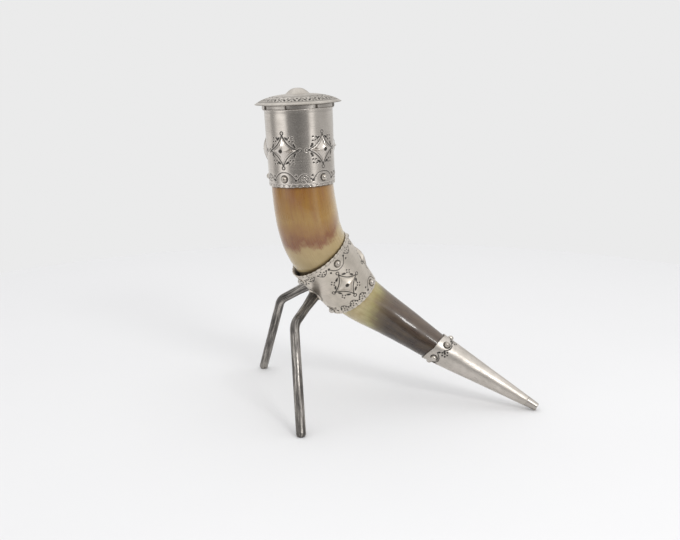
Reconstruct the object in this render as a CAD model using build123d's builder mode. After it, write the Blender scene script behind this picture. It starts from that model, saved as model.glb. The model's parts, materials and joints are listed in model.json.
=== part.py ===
"""A lidded horn vessel that stands on two legs and its own tip.

A hollow cow horn, bent and slightly twisted, wears a metal sleeve round its mouth, a conical band
round its bend and a ferrule over its tip. Two bent rod legs are soldered to the band. A loose lid
plugs into the mouth.
Millimetres, +Z up. The origin is on the floor, at the centre of the footprint. +X runs from between
the feet towards the tip, and -Y is the side of the front leg.
"""

import os
from math import atan, cos, radians, sin, sqrt

from build123d import *

# ---------------------------------------------------------------- driving dimensions

SHEET = 0.9  # thickness of the sheet metal
GAP = 0.05  # clearance between pieces that touch

# Mouth sleeve. Its axis leans away from the tip.
MOUTH_BASE = Vector(-75.4, -1.0, 198.6)
MOUTH_LEAN = 2.6
SLEEVE_LENGTH = 65.2
SLEEVE_FOOT_RADIUS = 28.3
SLEEVE_TOP_RADIUS = 29.3
RIM_WIRE_RADIUS = 0.6
SLEEVE_FIRST_ANGLE = -112.0
SLEEVE_REPEATS = 5
SLEEVE_DIAMOND_HEIGHT = 31.0
SLEEVE_NAIL_HEIGHT = 7.2

# Lid.
LID_LIFT = 3.4  # from the sleeve's top edge to the underside of the brim
LID_RADIUS = 36.2
LID_CROWN = 7.3
LID_SHOULDER = [(20.0, 1.3), (30.5, 4.2)]  # radius, and drop below the crown
LID_EDGE_TANGENT = (0.78, -0.62)
LID_EDGE_BEAD = 0.7
LID_BOSS_RADIUS = 11.0
LID_BOSS_HEIGHT = 4.7
LID_BOSS_BELL = [(0.42, 0.87), (0.74, 0.42)]  # shares of its radius and of its height
LID_BOSS_SINK = 0.4  # how far its foot reaches into the dome's curve
COLLAR_RADIUS = 27.9
COLLAR_DEPTH = 9.0
COLLAR_TOP_DROP = 4.0  # from the crown down to where the collar reaches into the lid
COLLAR_SLITS = 8
COLLAR_FIRST_SLIT = -98.0
COLLAR_SLIT_WIDTH = 1.2
SEAT_RADIUS = 30.9
SEAT_THICKNESS = 2.6
SEAT_NOTCH_WIDTH = 4.0
SEAT_NOTCH_DEPTH = 2.2

# Band round the bend: a cone between two ring centres.
BAND_TOP = Vector(-62.7, 7.4, 136.1)
BAND_BOTTOM = Vector(-33.5, 24.5, 94.7)
BAND_TOP_RADIUS = 29.5
BAND_BOTTOM_RADIUS = 24.7
BAND_DIAMOND_ANGLES = [-8.0, 82.0, 172.0]
BAND_DIAMOND_HEIGHT = 24.8
BAND_TOP_NAILS = 4
BAND_FIRST_TOP_NAIL = 3.0
BAND_BOTTOM_NAILS = 3
BAND_FIRST_BOTTOM_NAIL = -81.0
BAND_TOP_NAIL_INSET = 7.5
BAND_BOTTOM_NAIL_INSET = 5.5

# Ferrule over the tip: a cone from its top ring to the end of its cap.
FERRULE_TOP = Vector(39.8, 21.1, 49.9)
TIP_END = Vector(133.1, -0.4, 2.9)
FERRULE_TOP_RADIUS = 14.5
FERRULE_END_RADIUS = 4.6
FERRULE_WALL = 0.7
TIP_CAP_LENGTH = 10.2
TIP_CAP_RADIUS = 3.4
TIP_CAP_ROUNDING = 0.7
TIP_SPIGOT_LENGTH = 4.0
FERRULE_EDGE_TILT = 4.4  # how far its oblique top edge leans to the tip on one side and away on the other
FERRULE_SHORT_SIDE = 72.0  # angle at which the edge is nearest to the tip
FERRULE_NAILS = 5
FERRULE_FIRST_NAIL = -21.0
FERRULE_NAIL_INSET = 7.5

# Bosses: pressed four-sided pyramids with hollow backs. Half-sizes are at the mount's surface.
DIAMOND_HALF_WIDTH = 13.0
DIAMOND_HALF_HEIGHT = 11.8
DIAMOND_RELIEF = 4.2
BAND_DIAMOND_HALF_WIDTH = 11.8
BAND_DIAMOND_HALF_HEIGHT = 11.4
BAND_DIAMOND_RELIEF = 3.3
DIAMOND_SINK = 0.3  # how far the pyramid starts under its lowest visible point
DIAMOND_PEAK = 0.5  # half-size of its blunt top
DIAMOND_WAIST = 0.41  # how far each side bows in: 0.5 is straight

# Domed nails.
NAIL_HEAD_RADIUS = 2.7
NAIL_HEAD_HEIGHT = 2.9
NAIL_SHANK_RADIUS = 0.8
NAIL_SHANK_LENGTH = 4.3

# Legs: bent rods from a point on the band, round the knee, to the floor.
LEG_RADIUS = 4.15
LEG_ROOT_RADIUS = 5.4
LEG_FLARE_LENGTH = 20.0
LEG_KNEE_BEND = 17.0
LEG_END_HEIGHT = 3.7  # from the floor up to where the rounded end is centred
LEG_END_ROUNDING = 0.85  # share of the rod's radius that its end is rounded by
FRONT_KNEE = Vector(-77.8, -36.1, 81.8)
FRONT_FOOT = Vector(-64.4, -85.9, 0.0)
REAR_KNEE = Vector(-103.7, 41.9, 82.8)
REAR_FOOT = Vector(-130.8, 85.9, 0.0)
FRONT_LEG_ANGLE = -88.0
REAR_LEG_ANGLE = -140.0
LEG_COLLAR_RADIUS = 7.8
LEG_COLLAR_HEIGHT = 1.7
LEG_COLLAR_ROUNDING = 0.9  # share of its height that its edge is rounded by
LEG_COLLAR_SINK = 2.0  # how far its blank reaches under the seat before it is hollowed to the band
TENON_RADIUS = 2.4
TENON_REACH = 1.0  # how far the tenon's blank starts inside the leg

# Horn. Its straight mouth runs up inside the sleeve, its tip runs down inside the ferrule, and the
# sections between them are about a radius apart, so that a smooth surface can follow them.
HORN_MOUTH_SECTIONS = [
    # height above the sleeve's foot, outer radius, hollow radius
    (53.2, 27.8, 23.6),
    (35.0, 27.5, 23.2),
    (17.5, 27.1, 22.8),
    (0.0, 26.8, 22.6),
]
HORN_BEND_SECTIONS = [
    # x, y, z, outer radius, hollow radius
    (-72.6, 0.8, 174.5, 27.2, 22.4),
    (-68.7, 3.9, 154.5, 27.1, 22.0),
    (-60.1, 9.3, 134.5, 26.3, 19.8),
    (-47.0, 16.9, 114.9, 23.6, 14.6),
    (-31.1, 24.6, 95.0, 21.7, 6.5),
    (-12.9, 28.2, 81.2, 19.1, None),
    (6.5, 28.2, 69.2, 16.8, None),
    (23.3, 25.1, 59.3, 15.0, None),
]
HORN_TIP_DEPTH = 84.0  # how far the horn runs on inside the ferrule
HORN_TIP_SECTIONS = 5
HORN_NECK_GAP = 0.6  # clearance inside the ferrule's top edge
HORN_TIP_RADIUS = 4.0


# ---------------------------------------------------------------- frames and helpers


def frame_along(origin, direction):
    """Plane whose Z runs along direction, with X level and facing the -Y side."""
    level = Vector(0, 0, 1).cross(direction)
    facing = level if level.Y < 0 else level * -1
    return Plane(origin=origin, x_dir=facing, z_dir=direction)


def side_plane(frame):
    """Plane to draw a turned profile on: X is the radius and Y runs along the frame's Z."""
    return Plane(origin=frame.origin, x_dir=frame.x_dir, z_dir=frame.y_dir * -1)


def turning_axis(frame):
    return Axis(frame.origin, frame.z_dir)


def surface_seat(frame, angle, height, radius, taper):
    """Plane on a turned surface: Z points straight out of it and X runs round it.

    Taper is the widening of the surface per height."""
    spun = Plane(frame.location * Rotation(0, 0, angle))
    lean = atan(taper)
    outward = spun.x_dir * cos(lean) - spun.z_dir * sin(lean)
    place = spun.origin + spun.z_dir * height + spun.x_dir * radius
    return Plane(origin=place, x_dir=spun.y_dir, z_dir=outward)


def evenly_spaced(first, count, step):
    return [first + step * i for i in range(count)]


lean = radians(MOUTH_LEAN)
mouth_up = Vector(-sin(lean), 0, cos(lean))
mouth_frame = Plane(origin=MOUTH_BASE, x_dir=(cos(lean), 0, sin(lean)), z_dir=mouth_up)
lid_frame = mouth_frame.offset(SLEEVE_LENGTH)

band_length = (BAND_TOP - BAND_BOTTOM).length
band_frame = frame_along(BAND_BOTTOM, (BAND_TOP - BAND_BOTTOM).normalized())
band_taper = (BAND_TOP_RADIUS - BAND_BOTTOM_RADIUS) / band_length

ferrule_up = (FERRULE_TOP - TIP_END).normalized()
ferrule_length = (FERRULE_TOP - TIP_END).length - TIP_CAP_LENGTH
ferrule_frame = frame_along(FERRULE_TOP, ferrule_up)
ferrule_taper = (FERRULE_TOP_RADIUS - FERRULE_END_RADIUS) / ferrule_length
sleeve_taper = (SLEEVE_TOP_RADIUS - SLEEVE_FOOT_RADIUS) / SLEEVE_LENGTH


def sleeve_seats(height):
    radius = SLEEVE_FOOT_RADIUS + sleeve_taper * height
    angles = evenly_spaced(SLEEVE_FIRST_ANGLE, SLEEVE_REPEATS, 360 / SLEEVE_REPEATS)
    return [surface_seat(mouth_frame, a, height, radius, sleeve_taper) for a in angles]


def band_seats(height, angles):
    radius = BAND_BOTTOM_RADIUS + band_taper * height
    return [surface_seat(band_frame, a, height, radius, band_taper) for a in angles]


def ferrule_nail_seat(angle):
    """Seat at one inset from the ferrule's oblique edge, whatever its angle."""
    edge = -FERRULE_EDGE_TILT * cos(radians(angle - FERRULE_SHORT_SIDE))
    height = edge - FERRULE_NAIL_INSET
    return surface_seat(ferrule_frame, angle, height, FERRULE_TOP_RADIUS + ferrule_taper * height, ferrule_taper)


sleeve_nail_seats = sleeve_seats(SLEEVE_NAIL_HEIGHT)
sleeve_diamond_seats = sleeve_seats(SLEEVE_DIAMOND_HEIGHT)
band_top_nail_seats = band_seats(
    band_length - BAND_TOP_NAIL_INSET,
    evenly_spaced(BAND_FIRST_TOP_NAIL, BAND_TOP_NAILS, 360 / BAND_TOP_NAILS),
)
band_bottom_nail_seats = band_seats(
    BAND_BOTTOM_NAIL_INSET,
    evenly_spaced(BAND_FIRST_BOTTOM_NAIL, BAND_BOTTOM_NAILS, 360 / BAND_BOTTOM_NAILS),
)
band_diamond_seats = band_seats(BAND_DIAMOND_HEIGHT, BAND_DIAMOND_ANGLES)
front_leg_seat, rear_leg_seat = band_seats(band_length / 2, [FRONT_LEG_ANGLE, REAR_LEG_ANGLE])
ferrule_nail_seats = [
    ferrule_nail_seat(angle)
    for angle in evenly_spaced(FERRULE_FIRST_NAIL, FERRULE_NAILS, 360 / FERRULE_NAILS)
]
all_nail_seats = sleeve_nail_seats + band_top_nail_seats + band_bottom_nail_seats + ferrule_nail_seats


def turned(frame, outline):
    """Solid of revolution about the frame's Z. The outline is (radius, height) corners."""
    with BuildPart() as solid:
        with BuildSketch(side_plane(frame)):
            with BuildLine():
                Polyline(*outline, close=True)
            make_face()
        revolve(axis=turning_axis(frame))
    return solid.part


# ---------------------------------------------------------------- horn


def horn_planes(points):
    """Section planes square to the line through the points, all turned the same way up."""
    planes = []
    for i, point in enumerate(points):
        along = points[min(i + 1, len(points) - 1)] - points[max(i - 1, 0)]
        planes.append(Plane(origin=point, x_dir=Vector(0, 1, 0).cross(along), z_dir=along))
    return planes


def lofted_tube(points, radii):
    """Smooth solid through a circle at each point."""
    with BuildPart() as solid:
        for plane, radius in zip(horn_planes(points), radii):
            with BuildSketch(plane):
                Circle(radius)
        loft()
    return solid.part


horn_neck_radius = FERRULE_TOP_RADIUS - FERRULE_WALL - HORN_NECK_GAP
horn_sections = [(MOUTH_BASE + mouth_up * row[0], row[1], row[2]) for row in HORN_MOUTH_SECTIONS]
horn_sections += [(Vector(*row[:3]), row[3], row[4]) for row in HORN_BEND_SECTIONS]
for i in range(HORN_TIP_SECTIONS):
    share = i / (HORN_TIP_SECTIONS - 1)
    radius = horn_neck_radius + (HORN_TIP_RADIUS - horn_neck_radius) * share
    horn_sections.append((FERRULE_TOP - ferrule_up * HORN_TIP_DEPTH * share, radius, None))
hollow_sections = [row for row in horn_sections if row[2]]

horn_solid = lofted_tube([row[0] for row in horn_sections], [row[1] for row in horn_sections])
horn_hollow = lofted_tube([row[0] for row in hollow_sections], [row[2] for row in hollow_sections])

with BuildPart() as horn_shell:
    add(horn_solid)
    add(horn_hollow, mode=Mode.SUBTRACT)
    with Locations(*all_nail_seats):
        Hole(NAIL_SHANK_RADIUS + GAP, depth=NAIL_SHANK_LENGTH + GAP)


# ---------------------------------------------------------------- mouth sleeve and its rim

with BuildPart() as mouth_sleeve:
    with BuildSketch(side_plane(mouth_frame)):
        with BuildLine():
            Polyline(
                (SLEEVE_FOOT_RADIUS - SHEET, 0),
                (SLEEVE_FOOT_RADIUS, 0),
                (SLEEVE_TOP_RADIUS, SLEEVE_LENGTH),
                (SLEEVE_TOP_RADIUS - SHEET, SLEEVE_LENGTH),
                close=True,
            )
        make_face()
    revolve(axis=turning_axis(mouth_frame))
    with Locations(*sleeve_nail_seats):
        Hole(NAIL_SHANK_RADIUS + GAP, depth=2 * SHEET)

with BuildPart() as mouth_rim_wire:
    with BuildSketch(side_plane(lid_frame)):
        with Locations((SLEEVE_TOP_RADIUS + RIM_WIRE_RADIUS + GAP, -RIM_WIRE_RADIUS)):
            Circle(RIM_WIRE_RADIUS)
    revolve(axis=turning_axis(lid_frame))


# ---------------------------------------------------------------- middle band

with BuildPart() as middle_band:
    with BuildSketch(side_plane(band_frame)):
        with BuildLine():
            Polyline(
                (BAND_BOTTOM_RADIUS - SHEET, 0),
                (BAND_BOTTOM_RADIUS, 0),
                (BAND_TOP_RADIUS, band_length),
                (BAND_TOP_RADIUS - SHEET, band_length),
                close=True,
            )
        make_face()
    revolve(axis=turning_axis(band_frame))
    with Locations(*band_top_nail_seats, *band_bottom_nail_seats):
        Hole(NAIL_SHANK_RADIUS + GAP, depth=2 * SHEET)
    with Locations(front_leg_seat, rear_leg_seat):
        Hole(TENON_RADIUS + GAP, depth=2 * SHEET)

band_core = turned(
    band_frame,
    [
        (0, 0),
        (BAND_BOTTOM_RADIUS + GAP, 0),
        (BAND_TOP_RADIUS + GAP, band_length),
        (0, band_length),
    ],
)
sleeve_core = turned(
    mouth_frame,
    [
        (0, 0),
        (SLEEVE_FOOT_RADIUS + GAP, 0),
        (SLEEVE_TOP_RADIUS + GAP, SLEEVE_LENGTH),
        (0, SLEEVE_LENGTH),
    ],
)


# ---------------------------------------------------------------- pressed diamond bosses


def bowed_diamond(plane, half_width, half_height):
    """Four-pointed face whose sides bow in towards the middle."""
    tips = [(half_width, 0), (0, half_height), (-half_width, 0), (0, -half_height)]
    with BuildSketch(plane, mode=Mode.PRIVATE) as outline:
        with BuildLine():
            for start, end in zip(tips, tips[1:] + tips[:1]):
                waist = ((start[0] + end[0]) * DIAMOND_WAIST, (start[1] + end[1]) * DIAMOND_WAIST)
                ThreePointArc(start, waist, end)
        make_face()
    return outline.sketch.face()


def diamond_boss(half_width, half_height, relief, mount_radius):
    """Pyramid with a hollow back, centred on a seat plane and deep enough to meet the mount all round."""
    drop = mount_radius - sqrt(mount_radius**2 - half_width**2)
    root_depth = drop + DIAMOND_SINK
    rise = relief + root_depth
    root_width = half_width * rise / (relief + drop)
    root_height = half_height * rise / relief
    peak = (DIAMOND_PEAK, DIAMOND_PEAK * root_height / root_width)
    with BuildPart() as solid:
        for step, mode in ((0, Mode.ADD), (-SHEET, Mode.SUBTRACT)):
            root = bowed_diamond(Plane.XY.offset(step - root_depth), root_width, root_height)
            top = bowed_diamond(Plane.XY.offset(step + relief), *peak)
            loft(sections=[root, top], mode=mode)
    return solid.part


sleeve_boss = diamond_boss(
    DIAMOND_HALF_WIDTH,
    DIAMOND_HALF_HEIGHT,
    DIAMOND_RELIEF,
    SLEEVE_FOOT_RADIUS + sleeve_taper * SLEEVE_DIAMOND_HEIGHT,
)
band_boss = diamond_boss(
    BAND_DIAMOND_HALF_WIDTH,
    BAND_DIAMOND_HALF_HEIGHT,
    BAND_DIAMOND_RELIEF,
    BAND_BOTTOM_RADIUS + band_taper * BAND_DIAMOND_HEIGHT,
)

with BuildPart() as sleeve_diamond_bosses:
    with Locations(*sleeve_diamond_seats):
        add(sleeve_boss)
    add(sleeve_core, mode=Mode.SUBTRACT)

with BuildPart() as band_diamond_bosses:
    with Locations(*band_diamond_seats):
        add(band_boss)
    add(band_core, mode=Mode.SUBTRACT)


# ---------------------------------------------------------------- domed nails

nail_dome = (NAIL_HEAD_RADIUS**2 + NAIL_HEAD_HEIGHT**2) / (2 * NAIL_HEAD_HEIGHT)
with BuildPart() as nail:
    with BuildSketch(Plane.XZ):
        with BuildLine():
            Polyline(
                (0, NAIL_HEAD_HEIGHT + GAP),
                (0, -NAIL_SHANK_LENGTH),
                (NAIL_SHANK_RADIUS, -NAIL_SHANK_LENGTH),
                (NAIL_SHANK_RADIUS, GAP),
                (NAIL_HEAD_RADIUS, GAP),
            )
            RadiusArc((NAIL_HEAD_RADIUS, GAP), (0, NAIL_HEAD_HEIGHT + GAP), -nail_dome)
        make_face()
    revolve(axis=Axis.Z)


def nails_at(seats):
    with BuildPart() as group:
        with Locations(*seats):
            add(nail.part)
    return group.part


sleeve_nails = nails_at(sleeve_nail_seats)
band_top_nails = nails_at(band_top_nail_seats)
band_bottom_nails = nails_at(band_bottom_nail_seats)
ferrule_nails = nails_at(ferrule_nail_seats)


# ---------------------------------------------------------------- legs and their collars


def leg_solid(seat, knee, foot, grow=0.0):
    """Bent rod from inside the band to the floor, flared at its root and trimmed to the band."""
    outward = (knee - seat.origin).normalized()
    start = seat.origin - outward * LEG_ROOT_RADIUS
    flare_end = seat.origin + outward * LEG_FLARE_LENGTH
    shin = (foot - knee).normalized()
    end = foot + shin * ((LEG_RADIUS - LEG_END_HEIGHT) / -shin.Z)
    with BuildPart() as leg:
        with BuildSketch(Plane(origin=start, z_dir=outward)):
            Circle(LEG_ROOT_RADIUS + grow)
        with BuildSketch(Plane(origin=flare_end, z_dir=outward)):
            Circle(LEG_RADIUS + grow)
        loft()
        with BuildLine() as path:
            FilletPolyline(flare_end, knee, end, radius=LEG_KNEE_BEND)
        with BuildSketch(Plane(origin=flare_end, z_dir=outward)):
            Circle(LEG_RADIUS + grow)
        sweep(path=path.line)
        end_face = leg.faces().filter_by(GeomType.PLANE).sort_by(Axis.Z)[0]
        fillet(end_face.edges(), LEG_RADIUS * LEG_END_ROUNDING)
        add(band_core, mode=Mode.SUBTRACT)
        split(bisect_by=Plane.XY, keep=Keep.TOP)
        with Locations(seat.offset(TENON_REACH)):
            Cylinder(TENON_RADIUS, 3 * TENON_REACH, align=(Align.CENTER, Align.CENTER, Align.MAX))
        add(tenon_limit, mode=Mode.SUBTRACT)
    return leg.part


tenon_limit = turned(
    band_frame,
    [
        (0, 0),
        (BAND_BOTTOM_RADIUS - SHEET, 0),
        (BAND_TOP_RADIUS - SHEET, band_length),
        (0, band_length),
    ],
)


def leg_collar(seat, knee, foot):
    """Domed pad round a leg's root, hollowed to sit on the band."""
    with BuildPart() as collar:
        with Locations(seat.offset(LEG_COLLAR_HEIGHT)):
            Cylinder(
                LEG_COLLAR_RADIUS,
                LEG_COLLAR_HEIGHT + LEG_COLLAR_SINK,
                align=(Align.CENTER, Align.CENTER, Align.MAX),
            )
        rim = collar.faces().filter_by(GeomType.PLANE).sort_by(Axis(seat.origin, seat.z_dir))[-1]
        fillet(rim.edges(), LEG_COLLAR_HEIGHT * LEG_COLLAR_ROUNDING)
        add(band_core, mode=Mode.SUBTRACT)
        add(leg_solid(seat, knee, foot, grow=GAP), mode=Mode.SUBTRACT)
    return collar.part


front_leg = leg_solid(front_leg_seat, FRONT_KNEE, FRONT_FOOT)
rear_leg = leg_solid(rear_leg_seat, REAR_KNEE, REAR_FOOT)
front_leg_collar = leg_collar(front_leg_seat, FRONT_KNEE, FRONT_FOOT)
rear_leg_collar = leg_collar(rear_leg_seat, REAR_KNEE, REAR_FOOT)


# ---------------------------------------------------------------- tip ferrule and its cap

ferrule_long_radius = FERRULE_TOP_RADIUS + ferrule_taper * FERRULE_EDGE_TILT
short_side = Plane(ferrule_frame.location * Rotation(0, 0, FERRULE_SHORT_SIDE)).x_dir
ferrule_edge = Plane(FERRULE_TOP, z_dir=ferrule_up * FERRULE_TOP_RADIUS + short_side * FERRULE_EDGE_TILT)

with BuildPart() as tip_ferrule:
    with BuildSketch(side_plane(ferrule_frame)):
        with BuildLine():
            Polyline(
                (ferrule_long_radius - FERRULE_WALL, FERRULE_EDGE_TILT),
                (ferrule_long_radius, FERRULE_EDGE_TILT),
                (FERRULE_END_RADIUS, -ferrule_length),
                (FERRULE_END_RADIUS - FERRULE_WALL, -ferrule_length),
                close=True,
            )
        make_face()
    revolve(axis=turning_axis(ferrule_frame))
    split(bisect_by=ferrule_edge, keep=Keep.BOTTOM)
    with Locations(*ferrule_nail_seats):
        Hole(NAIL_SHANK_RADIUS + GAP, depth=2 * FERRULE_WALL)

spigot_radius = FERRULE_END_RADIUS - FERRULE_WALL - GAP
with BuildPart() as tip_cap:
    with BuildSketch(side_plane(ferrule_frame)):
        with BuildLine():
            Polyline(
                (0, -ferrule_length + TIP_SPIGOT_LENGTH),
                (spigot_radius, -ferrule_length + TIP_SPIGOT_LENGTH),
                (spigot_radius, -ferrule_length - GAP),
                (FERRULE_END_RADIUS, -ferrule_length - GAP),
                (TIP_CAP_RADIUS, -ferrule_length - TIP_CAP_LENGTH),
                (0, -ferrule_length - TIP_CAP_LENGTH),
                close=True,
            )
        make_face()
    revolve(axis=turning_axis(ferrule_frame))
    end_face = tip_cap.faces().sort_by(Axis(FERRULE_TOP, ferrule_up))[0]
    fillet(end_face.edges(), TIP_CAP_ROUNDING)
    split(bisect_by=Plane.XY, keep=Keep.TOP)


# ---------------------------------------------------------------- lid

brim = LID_LIFT + SHEET
crown = brim + LID_CROWN

shoulder_points = [(radius, crown - drop) for radius, drop in LID_SHOULDER]
dome_points = [(0, crown), *shoulder_points, (LID_RADIUS, brim)]
hollow_points = [(radius, height - SHEET) for radius, height in reversed(dome_points)]
inward_tangent = (-LID_EDGE_TANGENT[0], -LID_EDGE_TANGENT[1])

with BuildPart() as lid_plate:
    with BuildSketch(side_plane(lid_frame)):
        with BuildLine():
            Spline(*dome_points, tangents=((1, 0), LID_EDGE_TANGENT))
            Line(dome_points[-1], hollow_points[0])
            Spline(*hollow_points, tangents=(inward_tangent, (-1, 0)))
            Line(hollow_points[-1], dome_points[0])
        make_face()
        with Locations((LID_RADIUS, LID_LIFT + LID_EDGE_BEAD)):
            Circle(LID_EDGE_BEAD)
    revolve(axis=turning_axis(lid_frame))

with BuildPart() as lid_boss:
    with BuildSketch(side_plane(lid_frame)):
        with BuildLine():
            Spline(
                (0, crown + LID_BOSS_HEIGHT),
                *[(x * LID_BOSS_RADIUS, crown + y * LID_BOSS_HEIGHT) for x, y in LID_BOSS_BELL],
                (LID_BOSS_RADIUS, crown - LID_BOSS_SINK),
                tangents=((1, 0), (1, -0.5)),
            )
            Line((LID_BOSS_RADIUS, crown - LID_BOSS_SINK), (0, crown - LID_BOSS_SINK))
            Line((0, crown - LID_BOSS_SINK), (0, crown + LID_BOSS_HEIGHT))
        make_face()
    revolve(axis=turning_axis(lid_frame))
    add(lid_plate.part, mode=Mode.SUBTRACT)

collar_top = crown - COLLAR_TOP_DROP - SHEET
with BuildPart() as lid_collar:
    with BuildSketch(side_plane(lid_frame)):
        with Locations((COLLAR_RADIUS - SHEET / 2, 0)):
            Rectangle(SHEET, collar_top, align=(Align.CENTER, Align.MIN))
            Rectangle(SHEET, COLLAR_DEPTH, align=(Align.CENTER, Align.MAX))
    revolve(axis=turning_axis(lid_frame))
    add(lid_plate.part, mode=Mode.SUBTRACT)
    slit_length = COLLAR_DEPTH - 2 * SHEET
    for angle in evenly_spaced(COLLAR_FIRST_SLIT, COLLAR_SLITS, 360 / COLLAR_SLITS):
        with Locations(surface_seat(lid_frame, angle, -COLLAR_DEPTH, COLLAR_RADIUS, 0)):
            Box(COLLAR_SLIT_WIDTH, 2 * slit_length, 4 * SHEET, mode=Mode.SUBTRACT)

with BuildPart() as lid_seat_ring:
    with BuildSketch(lid_frame.offset(GAP)):
        Circle(SEAT_RADIUS)
        Circle(COLLAR_RADIUS + GAP, mode=Mode.SUBTRACT)
    extrude(amount=SEAT_THICKNESS)
    for angle in evenly_spaced(COLLAR_FIRST_SLIT, COLLAR_SLITS, 360 / COLLAR_SLITS):
        with Locations(surface_seat(lid_frame, angle, SEAT_THICKNESS / 2, SEAT_RADIUS, 0)):
            Box(SEAT_NOTCH_WIDTH, 2 * SEAT_THICKNESS, 2 * SEAT_NOTCH_DEPTH, mode=Mode.SUBTRACT)


# ---------------------------------------------------------------- write the parts

pieces = {
    "horn_shell": horn_shell.part,
    "mouth_sleeve": mouth_sleeve.part,
    "mouth_rim_wire": mouth_rim_wire.part,
    "sleeve_diamond_bosses": sleeve_diamond_bosses.part,
    "sleeve_nails": sleeve_nails,
    "middle_band": middle_band.part,
    "band_diamond_bosses": band_diamond_bosses.part,
    "band_top_nails": band_top_nails,
    "band_bottom_nails": band_bottom_nails,
    "front_leg": front_leg,
    "rear_leg": rear_leg,
    "front_leg_collar": front_leg_collar,
    "rear_leg_collar": rear_leg_collar,
    "tip_ferrule": tip_ferrule.part,
    "ferrule_nails": ferrule_nails,
    "tip_cap": tip_cap.part,
    "lid_plate": lid_plate.part,
    "lid_boss": lid_boss.part,
    "lid_collar": lid_collar.part,
    "lid_seat_ring": lid_seat_ring.part,
}

os.makedirs("parts", exist_ok=True)
for name, solid in pieces.items():
    solid.label = name
    export_step(solid, f"parts/{name}.step")
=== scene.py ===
"""Looks of a lidded drinking horn with chased metal mounts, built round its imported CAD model.

Shapes are worked out in millimetres, in the CAD frame, and turned into metres when a mesh is made.
"""

import json
from math import ceil, cos, pi, radians, sin

import bpy
import numpy as np
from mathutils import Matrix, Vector


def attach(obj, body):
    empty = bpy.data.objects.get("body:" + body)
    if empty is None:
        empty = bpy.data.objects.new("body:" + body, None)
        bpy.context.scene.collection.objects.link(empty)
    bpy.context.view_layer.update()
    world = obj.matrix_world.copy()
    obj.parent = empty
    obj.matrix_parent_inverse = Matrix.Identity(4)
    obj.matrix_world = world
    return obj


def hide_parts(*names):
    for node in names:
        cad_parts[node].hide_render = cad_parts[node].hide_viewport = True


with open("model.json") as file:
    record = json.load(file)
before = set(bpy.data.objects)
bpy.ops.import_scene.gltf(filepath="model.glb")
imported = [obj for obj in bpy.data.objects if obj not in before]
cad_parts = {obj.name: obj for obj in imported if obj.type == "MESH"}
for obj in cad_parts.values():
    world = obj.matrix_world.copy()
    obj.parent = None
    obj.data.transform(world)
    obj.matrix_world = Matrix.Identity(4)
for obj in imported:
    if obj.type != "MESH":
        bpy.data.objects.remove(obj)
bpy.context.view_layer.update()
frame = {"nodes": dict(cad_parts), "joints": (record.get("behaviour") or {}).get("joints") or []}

MM = 0.001
rng = np.random.default_rng(11)

# ---- driving dimensions, in millimetres

SHEET = 0.9

MOUTH_BASE = np.array([-75.4, -1.0, 198.6])
MOUTH_UP = np.array(frame["joints"][0]["axis"])
SLEEVE_LENGTH = 65.2
SLEEVE_FOOT_RADIUS = 28.3
SLEEVE_TOP_RADIUS = 29.3
SLEEVE_FIRST_ANGLE = -112.0
SLEEVE_REPEATS = 5
SLEEVE_SCALLOPS = 30
SLEEVE_CHASED_HEIGHT = 49.0
SLEEVE_LIP = 3.2
SLEEVE_DIAMOND_HEIGHT = 31.0
SLEEVE_NAIL_HEIGHT = 7.2

LID_LIFT = 3.4
LID_RADIUS = 36.2
LID_CROWN = 7.3
LID_SHOULDER = [(20.0, 1.3), (30.5, 4.2)]
LID_EDGE_SLOPE = -0.62 / 0.78
LID_EDGE_BEAD = 0.7
LID_REPEATS = 22
LID_BOSS_RADIUS = 11.0
LID_BOSS_HEIGHT = 4.7

BAND_TOP = np.array([-62.7, 7.4, 136.1])
BAND_BOTTOM = np.array([-33.5, 24.5, 94.7])
BAND_TOP_RADIUS = 29.5
BAND_BOTTOM_RADIUS = 24.7
BAND_DIAMOND_ANGLES = [-8.0, 82.0, 172.0]
BAND_DIAMOND_HEIGHT = 24.8
BAND_FIRST_TOP_NAIL = 3.0
BAND_TOP_NAILS = 4
BAND_TOP_NAIL_INSET = 7.5
BAND_TOP_SCALLOPS = 36
BAND_FIRST_BOTTOM_NAIL = -81.0
BAND_BOTTOM_NAILS = 3
BAND_BOTTOM_NAIL_INSET = 5.5
BAND_BOTTOM_SCALLOPS = 30

FERRULE_TOP = np.array([39.8, 21.1, 49.9])
TIP_END = np.array([133.1, -0.4, 2.9])
FERRULE_TOP_RADIUS = 14.5
FERRULE_END_RADIUS = 4.6
FERRULE_WALL = 0.7
TIP_CAP_LENGTH = 10.2
FERRULE_EDGE_TILT = 4.4
FERRULE_SHORT_SIDE = 72.0
FERRULE_NAILS = 5
FERRULE_FIRST_NAIL = -21.0
FERRULE_NAIL_INSET = 7.5
FERRULE_CHASED_LENGTH = 24.0
FERRULE_TILT_DEPTH = 62.0
FERRULE_TILT_FADE = 44.0

NAIL_HEAD_RADIUS = 2.7

# half width, half height and relief
SLEEVE_DIAMOND = (13.0, 11.8, 4.2)
BAND_DIAMOND = (11.8, 11.4, 3.3)
DIAMOND_BOW = 0.62
DIAMOND_PIT_RADIUS = 1.75
DIAMOND_PIT_DEPTH = 0.85
DIAMOND_TIP_DEPTH = 1.2
HIDDEN_DEPTH = 0.5

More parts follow.
